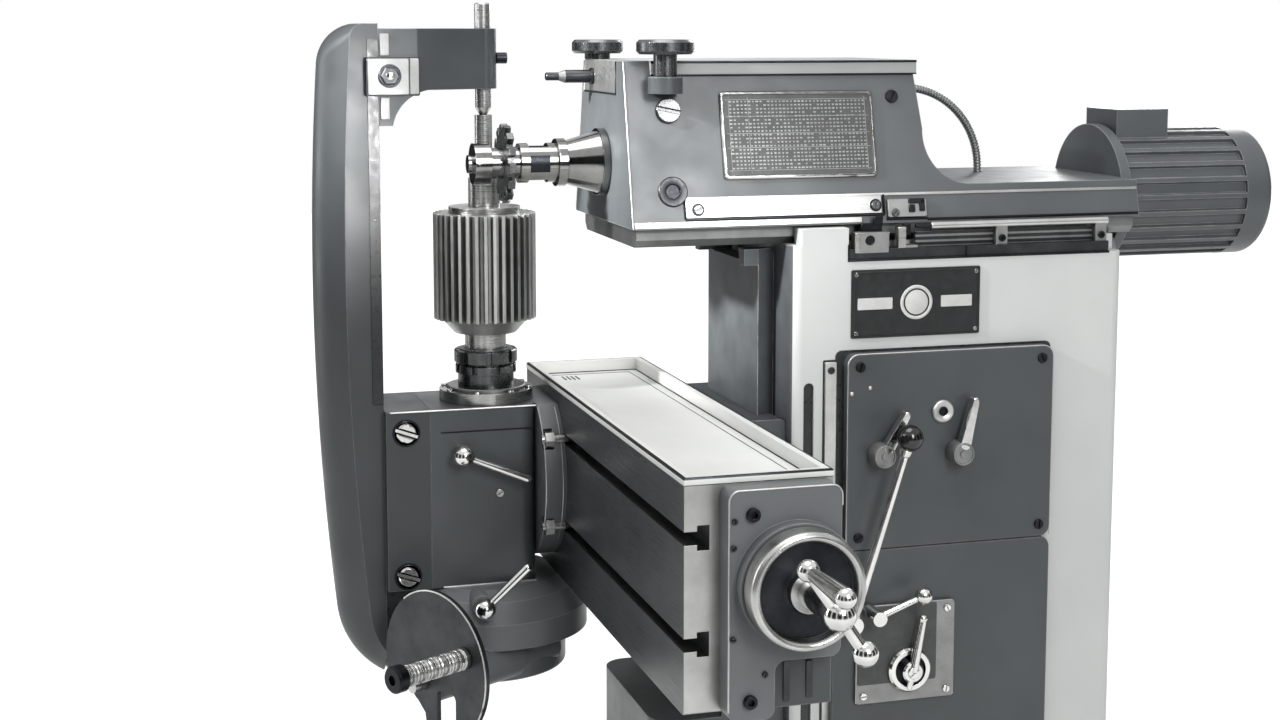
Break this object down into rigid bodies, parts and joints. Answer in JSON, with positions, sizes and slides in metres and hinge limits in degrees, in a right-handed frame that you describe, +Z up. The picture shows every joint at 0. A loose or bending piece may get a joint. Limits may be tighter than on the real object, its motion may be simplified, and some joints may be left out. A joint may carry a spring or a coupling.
{
  "type": "milling machine",
  "caption": "Upright horizontal-spindle milling machine with a sliding headstock, a crank-fed table on a knee, and a dividing head holding a gear blank under a tailstock arm.",
  "frame": {"origin": "on the floor, at the base's underside, under the spindle's upright middle plane", "axes": "+Z up, -Y to the front where the cutter points, +X to the operator's right along the table"},
  "size_m": [0.995, 1.2353, 1.572],
  "materials": {
    "light_paint": "smooth grey enamel",
    "mid_paint": "satin grey enamel",
    "dark_paint": "dark grey enamel, slightly rough",
    "base_paint": "grey paint over cast iron",
    "ground_steel": "ground bare steel",
    "turned_steel": "turned bare steel",
    "chromed": "bright plated",
    "blackened": "blackened steel",
    "cut_iron": "machined cast iron",
    "plate": "etched plate"
  },
  "bodies": {
    "column_frame": {"base": "base_paint", "column": "light_paint", "speed_panel": "dark_paint", "feed_panel": "dark_paint", "feed_plate": "plate", "nameplate": "plate", "panel_fasteners": "turned_steel", "trip_rail": "ground_steel", "elevating_screw": "turned_steel"},
    "left_speed_lever": {"speed_lever_left": "chromed"},
    "right_speed_lever": {"speed_lever_right": "chromed"},
    "long_speed_lever": {"long_lever": "chromed"},
    "feed_selector": {"feed_lever": "chromed"},
    "feed_trip": {"ball_lever": "chromed"},
    "headstock_unit": {"headstock": "mid_paint", "headstock_cap": "light_paint", "headstock_slide": "cut_iron", "clamp_block": "ground_steel", "headstock_screws": "turned_steel", "chart_plate": "plate", "conduit": "blackened", "spindle_bearings": "ground_steel", "drive_motor": "mid_paint"},
    "motor_rotor": {"motor_pinion": "turned_steel"},
    "spindle_unit": {"spindle": "turned_steel", "spindle_gear": "cut_iron", "cutter_arbor": "turned_steel", "gear_cutter": "blackened", "arbor_spacers": "ground_steel", "arbor_nut": "ground_steel"},
    "front_clamp_knob": {"front_knob": "blackened"},
    "side_clamp_knob": {"side_knob": "blackened"},
    "knee_unit": {"knee": "dark_paint"},
    "table_unit": {"table_slide": "cut_iron", "end_bracket": "dark_paint", "bracket_screws": "turned_steel", "swivel_flange": "dark_paint", "t_bolts": "turned_steel", "head_body": "dark_paint", "worm_housing": "dark_paint", "support_arm": "dark_paint", "head_screws": "turned_steel"},
    "feed_crank": {"lead_screw": "turned_steel", "feed_dial": "chromed", "ball_crank": "chromed"},
    "upper_clamp_lever": {"clamp_lever_upper": "chromed"},
    "lower_clamp_lever": {"clamp_lever_lower": "chromed"},
    "work_unit": {"work_spindle": "turned_steel", "collet_nut": "ground_steel", "mandrel": "turned_steel", "gear_blank": "cut_iron", "mandrel_nut": "turned_steel", "worm_wheel": "cut_iron"},
    "worm": {"worm_shaft": "turned_steel"},
    "quadrant": {"quadrant_plate": "blackened", "quadrant_stud": "turned_steel"},
    "tailstock": {"tail_bracket": "dark_paint", "tail_clamp": "ground_steel"},
    "tail_quill": {"tail_centre": "turned_steel"},
    "tail_lock": {"tail_screw": "blackened"}
  },
  "joints": [
    {"name": "knee_rise", "type": "slide", "parent": "column_frame", "child": "knee_unit", "axis": [0, 0, 1], "range_m": [-0.25, 0]},
    {"name": "table_travel", "type": "slide", "parent": "knee_unit", "child": "table_unit", "axis": [1, 0, 0], "range_m": [-0.28, 0.03]},
    {"name": "crank_turn", "type": "hinge", "parent": "table_unit", "child": "feed_crank", "pos_m": [0.56, -0.301, 0.9865], "axis": [1, 0, 0], "continuous": true},
    {"name": "headstock_travel", "type": "slide", "parent": "column_frame", "child": "headstock_unit", "axis": [0, 1, 0], "range_m": [-0.02, 0.13]},
    {"name": "spindle_turn", "type": "hinge", "parent": "headstock_unit", "child": "spindle_unit", "pos_m": [0, -0.363, 1.378], "axis": [0, -1, 0], "continuous": true},
    {"name": "motor_turn", "type": "hinge", "parent": "headstock_unit", "child": "motor_rotor", "pos_m": [0, 0.3, 1.323], "axis": [0, -1, 0], "continuous": true},
    {"name": "front_knob_turn", "type": "hinge", "parent": "headstock_unit", "child": "front_clamp_knob", "pos_m": [-0.075, -0.35, 1.51], "axis": [0, 0, 1], "range_deg": [-120, 120]},
    {"name": "side_knob_turn", "type": "hinge", "parent": "headstock_unit", "child": "side_clamp_knob", "pos_m": [0.114, -0.318, 1.51], "axis": [0, 0, 1], "range_deg": [-120, 120]},
    {"name": "work_turn", "type": "hinge", "parent": "table_unit", "child": "work_unit", "pos_m": [-0.113, -0.489, 1.07], "axis": [0, 0, 1], "continuous": true},
    {"name": "worm_turn", "type": "hinge", "parent": "table_unit", "child": "worm", "pos_m": [-0.04199, -0.448, 0.755], "axis": [0.5, -0.866, 0], "continuous": true},
    {"name": "quadrant_swing", "type": "hinge", "parent": "table_unit", "child": "quadrant", "pos_m": [-0.04199, -0.448, 0.755], "axis": [0.5, -0.866, 0], "range_deg": [-20, 20]},
    {"name": "upper_lever_turn", "type": "hinge", "parent": "table_unit", "child": "upper_clamp_lever", "pos_m": [-0.048, -0.535, 1.014], "axis": [1, 0, 0], "range_deg": [-90, 0]},
    {"name": "lower_lever_turn", "type": "hinge", "parent": "table_unit", "child": "lower_clamp_lever", "pos_m": [0.006, -0.52, 0.832], "axis": [1, 0, 0], "range_deg": [-80, 0]},
    {"name": "tailstock_rise", "type": "slide", "parent": "table_unit", "child": "tailstock", "axis": [0, 0, 1], "range_m": [0, 0.03]},
    {"name": "tail_quill_rise", "type": "slide", "parent": "tailstock", "child": "tail_quill", "axis": [0, 0, 1], "range_m": [0, 0.03]},
    {"name": "tail_lock_turn", "type": "hinge", "parent": "tailstock", "child": "tail_lock", "pos_m": [-0.113, -0.463, 1.503], "axis": [0, -1, 0], "range_deg": [-180, 180]},
    {"name": "left_speed_turn", "type": "hinge", "parent": "column_frame", "child": "left_speed_lever", "pos_m": [0.164, -0.063, 1.029], "axis": [1, 0, 0], "range_deg": [-20, 50]},
    {"name": "right_speed_turn", "type": "hinge", "parent": "column_frame", "child": "right_speed_lever", "pos_m": [0.164, 0.04, 1.026], "axis": [1, 0, 0], "range_deg": [-35, 10]},
    {"name": "long_lever_swing", "type": "hinge", "parent": "column_frame", "child": "long_speed_lever", "pos_m": [0.164, -0.106, 0.828], "axis": [1, 0, 0], "range_deg": [-10, 25]},
    {"name": "feed_selector_turn", "type": "hinge", "parent": "column_frame", "child": "feed_selector", "pos_m": [0.17, -0.022, 0.758], "axis": [1, 0, 0], "range_deg": [-25, 25]},
    {"name": "feed_trip_swing", "type": "hinge", "parent": "column_frame", "child": "feed_trip", "pos_m": [0.17, -0.075, 0.835], "axis": [1, 0, 0], "range_deg": [0, 40]}
  ],
  "couplings": [
    {"joint": "crank_turn", "follows": "table_travel", "rad_per_m": 1256.6},
    {"joint": "motor_turn", "follows": "spindle_turn", "ratio": -2.9286},
    {"joint": "worm_turn", "follows": "work_turn", "ratio": 40}
  ]
}
